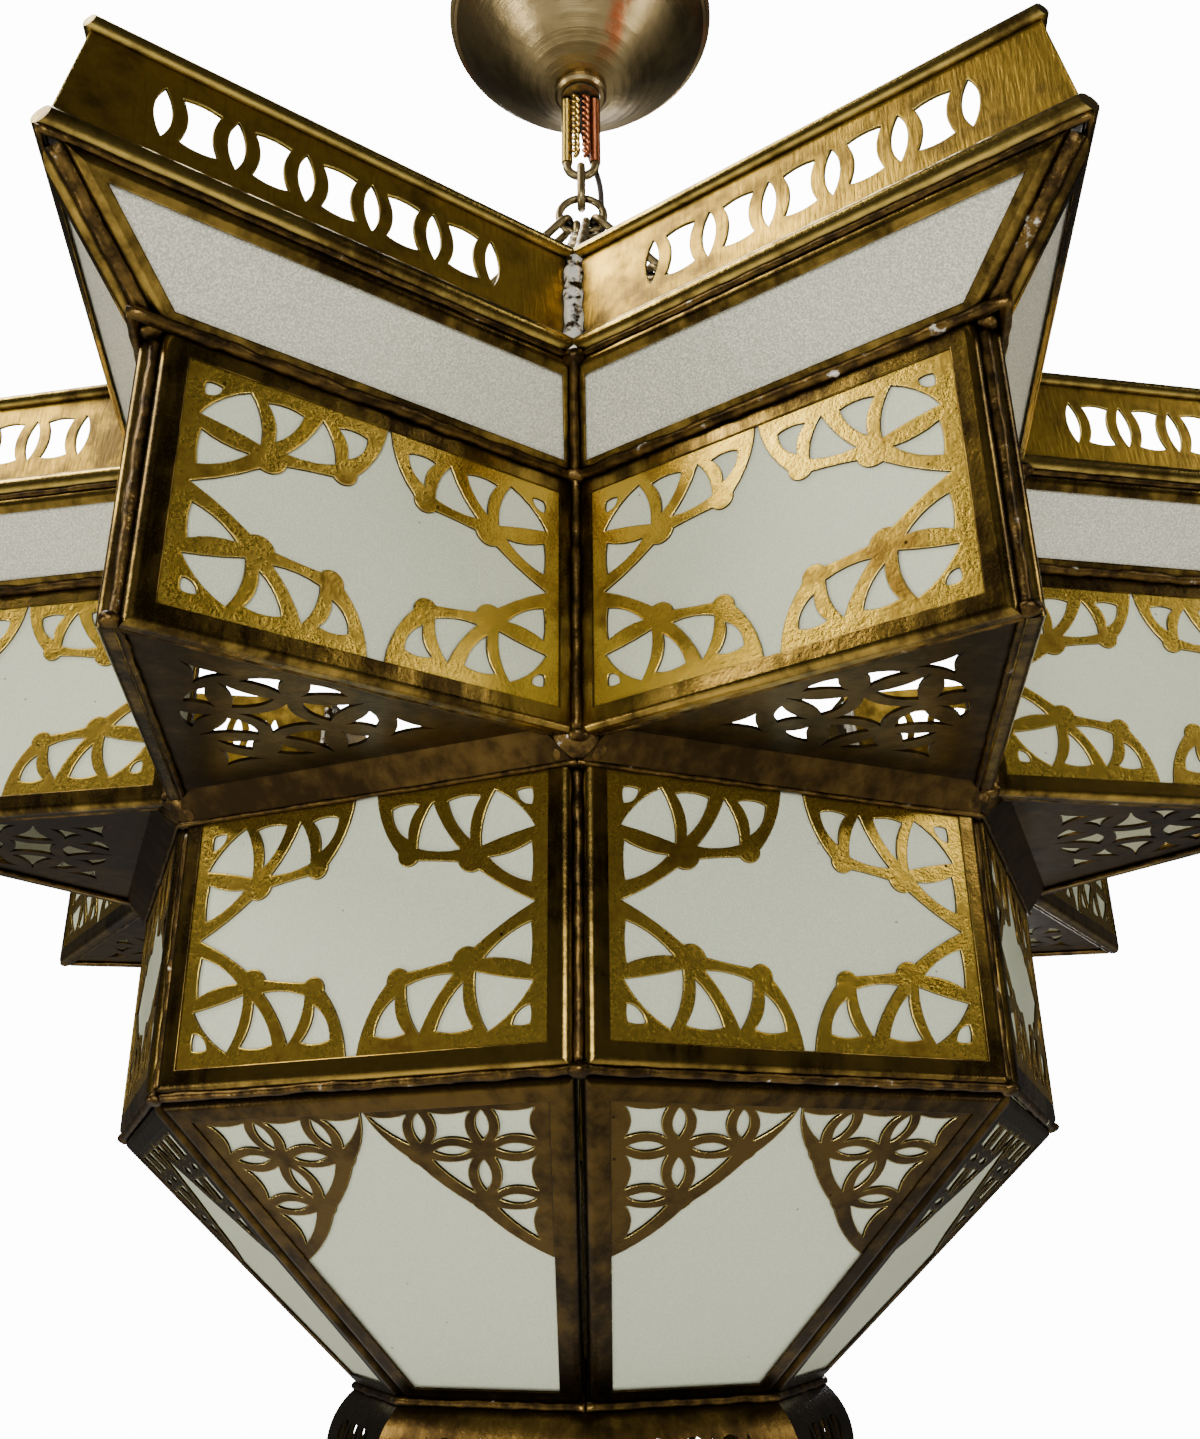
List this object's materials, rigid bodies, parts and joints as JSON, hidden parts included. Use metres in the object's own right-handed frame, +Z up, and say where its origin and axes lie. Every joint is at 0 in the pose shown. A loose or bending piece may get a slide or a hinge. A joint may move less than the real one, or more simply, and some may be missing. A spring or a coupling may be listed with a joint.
{
  "type": "star lantern pendant",
  "caption": "Pierced brass and frosted glass star lantern with an octagonal tapered body, hung by chains from a hook under a round ceiling canopy.",
  "frame": {"origin": "centre of the slotted ceiling strap and of the canopy rim, on the ceiling plane", "axes": "+Z up, away from the room; -Y faces the viewer, and one inner corner of the star and the front chain point that way; +X to the right"},
  "size_m": [0.6118, 0.6118, 0.7768],
  "materials": {
    "block": "moulded",
    "canopy": "satin spun brass",
    "chain": "matt aged brass",
    "fitting": "zinc plated",
    "flex": "dark covered flex",
    "floor": "dark brown patina",
    "frames": "aged dark brass with bright worn edges",
    "fretwork": "cut brass sheet with darkened edges",
    "gallery": "brushed aged brass, bright gold on one hand and dark on the other",
    "glass": "frosted, lightly grained",
    "holder": "moulded",
    "lamp": "opal lamp with a metal cap",
    "lampbrass": "satin brass",
    "sleeve": "candle tube",
    "solder": "tin solder, grey and bright"
  },
  "bodies": {
    "ceiling_fixing": {"ceiling_bracket": "fitting", "threaded_nipple": "fitting", "lock_nut": "fitting", "connector_block": "block", "earth_screw": "fitting", "hanging_loop": "chain", "flex_upper": "flex"},
    "canopy": {"canopy": "canopy"},
    "collar_ring": {"collar_ring": "canopy"},
    "hook": {"hanging_hook": "chain"},
    "lantern": {"base_frames": "frames", "base_fretwork": "fretwork", "base_glass": "glass", "body_frames": "frames", "body_fretwork": "fretwork", "body_glass": "glass", "bottom_plate": "frames", "candle_sleeves": "sleeve", "chain_back": "chain", "chain_front": "chain", "chain_left": "chain", "chain_lugs": "chain", "chain_right": "chain", "collar_plates": "frames", "cross_strap": "lampbrass", "finial": "frames", "flare_frames": "frames", "flare_glass": "glass", "flex_lower": "flex", "floor_plates": "floor", "gallery_mouldings": "gallery", "gallery_point_1": "gallery", "gallery_point_2": "gallery", "gallery_point_3": "gallery", "gallery_point_4": "gallery", "gallery_point_5": "gallery", "gallery_point_6": "gallery", "gallery_point_7": "gallery", "gallery_point_8": "gallery", "gather_ring": "chain", "lamp_cluster": "lampbrass", "lamp_holders": "holder", "solder_seams": "solder", "star_band_fretwork": "fretwork", "star_band_glass": "glass", "star_point_frame_1": "frames", "star_point_frame_2": "frames", "star_point_frame_3": "frames", "star_point_frame_4": "frames", "star_point_frame_5": "frames", "star_point_frame_6": "frames", "star_point_frame_7": "frames", "star_point_frame_8": "frames", "stem_nuts": "fitting", "stem_tube": "lampbrass"},
    "lamp_1": {"lamp_1": "lamp"},
    "lamp_2": {"lamp_2": "lamp"},
    "lamp_3": {"lamp_3": "lamp"},
    "lamp_4": {"lamp_4": "lamp"}
  },
  "joints": [
    {"name": "canopy_slide", "type": "slide", "parent": "ceiling_fixing", "child": "canopy", "axis": [0, 0, -1], "range_m": [0, 0.03]},
    {"name": "collar_ring_turn", "type": "hinge", "parent": "canopy", "child": "collar_ring", "pos_m": [0, 0, -0.0545], "axis": [0, 0, 1], "continuous": true},
    {"name": "hook_swing", "type": "hinge", "parent": "ceiling_fixing", "child": "hook", "pos_m": [0, 0, -0.1152], "axis": [1, 0, 0], "range_deg": [-20, 20], "deforming": ["flex_upper"]},
    {"name": "lantern_swing", "type": "hinge", "parent": "hook", "child": "lantern", "pos_m": [0, 0, -0.13575], "axis": [0, 1, 0], "range_deg": [-20, 20], "deforming": ["flex_lower"]},
    {"name": "lamp_1_turn", "type": "hinge", "parent": "lantern", "child": "lamp_1", "pos_m": [0.04384, -0.04384, -0.5], "axis": [0, 0, 1], "range_deg": [0, 1080]},
    {"name": "lamp_2_turn", "type": "hinge", "parent": "lantern", "child": "lamp_2", "pos_m": [0.04384, 0.04384, -0.5], "axis": [0, 0, 1], "range_deg": [0, 1080]},
    {"name": "lamp_3_turn", "type": "hinge", "parent": "lantern", "child": "lamp_3", "pos_m": [-0.04384, 0.04384, -0.5], "axis": [0, 0, 1], "range_deg": [0, 1080]},
    {"name": "lamp_4_turn", "type": "hinge", "parent": "lantern", "child": "lamp_4", "pos_m": [-0.04384, -0.04384, -0.5], "axis": [0, 0, 1], "range_deg": [0, 1080]}
  ]
}
